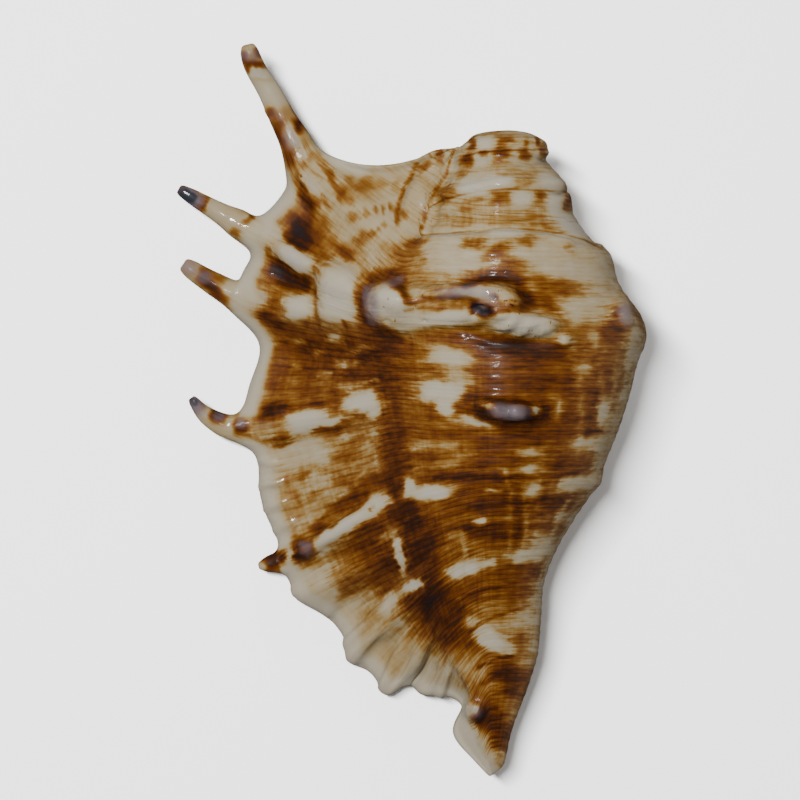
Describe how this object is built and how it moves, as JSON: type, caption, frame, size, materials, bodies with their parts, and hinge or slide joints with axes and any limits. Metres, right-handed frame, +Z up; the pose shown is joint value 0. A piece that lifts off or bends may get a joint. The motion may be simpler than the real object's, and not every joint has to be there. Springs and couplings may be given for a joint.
{
  "type": "spider conch shell",
  "caption": "Spider conch seashell with a knobbed body, a low spire, a flared lip drawn out into long curved fingers and a pointed siphonal canal, resting on its aperture.",
  "frame": {"origin": "centre of the bounding box at the level of the floor that the shell rests on", "axes": "+Y along the coiling axis towards the spire, +Z up through the knobbed back, +X towards the rounded side, away from the fingers"},
  "size_m": [0.0978, 0.153, 0.0483],
  "materials": {
    "shell": "glossy natural porcelain-like shell, cream with chestnut-brown markings"
  },
  "bodies": {
    "root": {"shell": "shell"}
  },
  "joints": []
}
